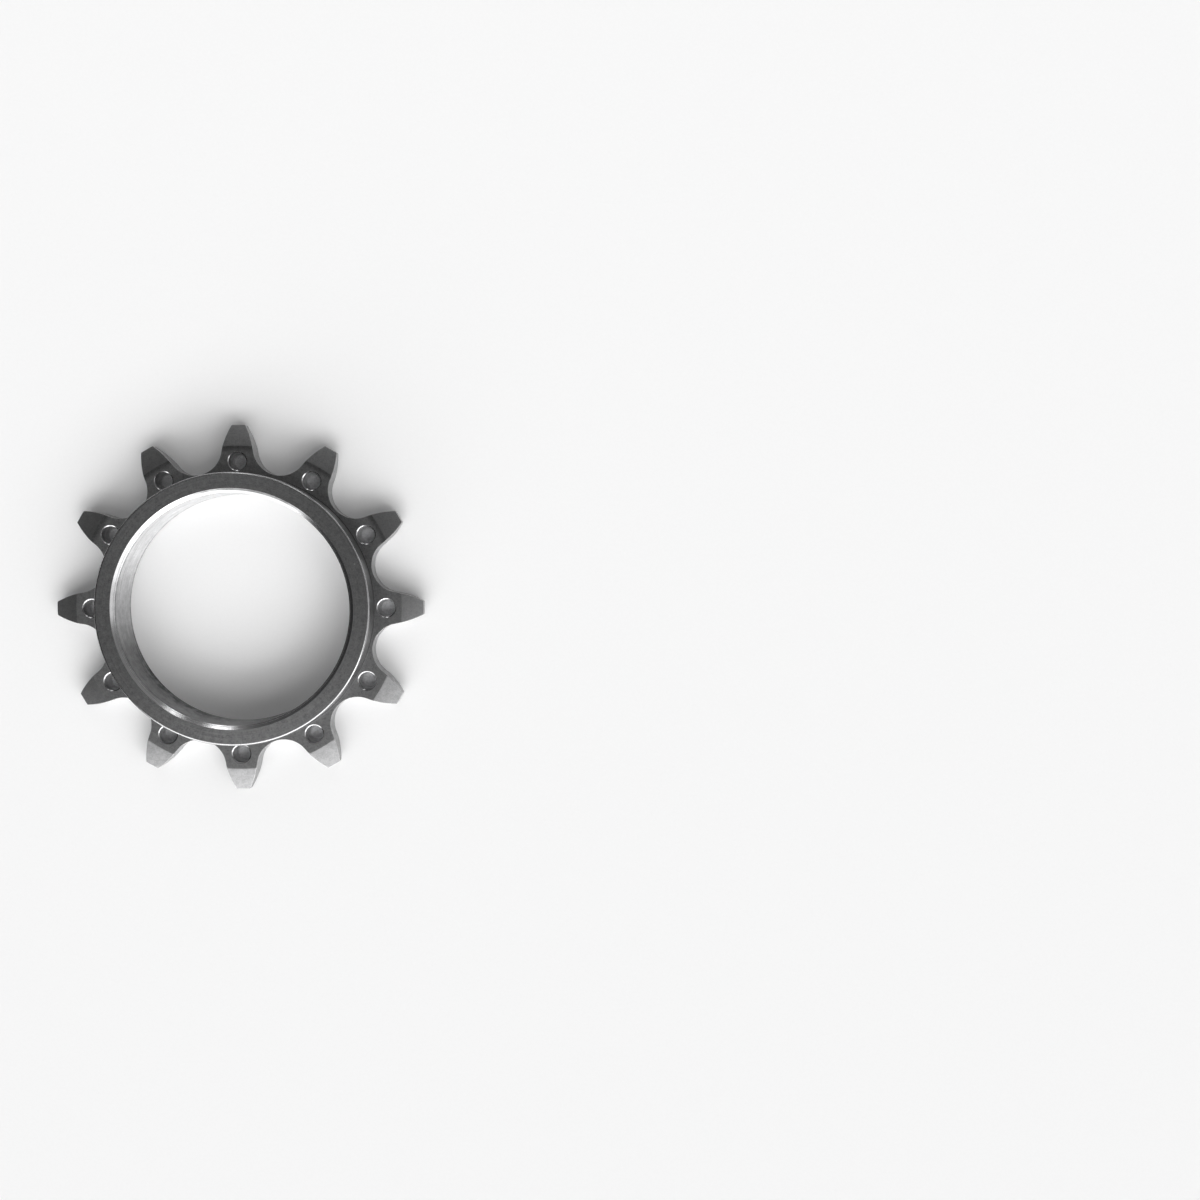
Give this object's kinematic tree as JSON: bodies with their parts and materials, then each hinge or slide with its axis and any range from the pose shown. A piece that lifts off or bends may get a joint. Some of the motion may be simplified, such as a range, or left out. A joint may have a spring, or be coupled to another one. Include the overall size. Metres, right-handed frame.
{
  "type": "single speed cog",
  "caption": "Flat bicycle cog for half inch chain with bevelled tooth tips, a blind hole in each tooth and a raised collar round a smooth chamfered bore.",
  "frame": {"origin": "centre of the flat back face, on the axis of the bore", "axes": "+Z along the bore axis, from the back face to the collar; +X through the middle of one tooth; the cog rests on its back in the XY plane"},
  "size_m": [0.0544, 0.0544, 0.007],
  "materials": {
    "steel": "machined bare steel: fine turned marks on the collar's face, smooth bright bore, ground bevels on the tooth tips"
  },
  "bodies": {
    "root": {"cog": "steel"}
  },
  "joints": []
}
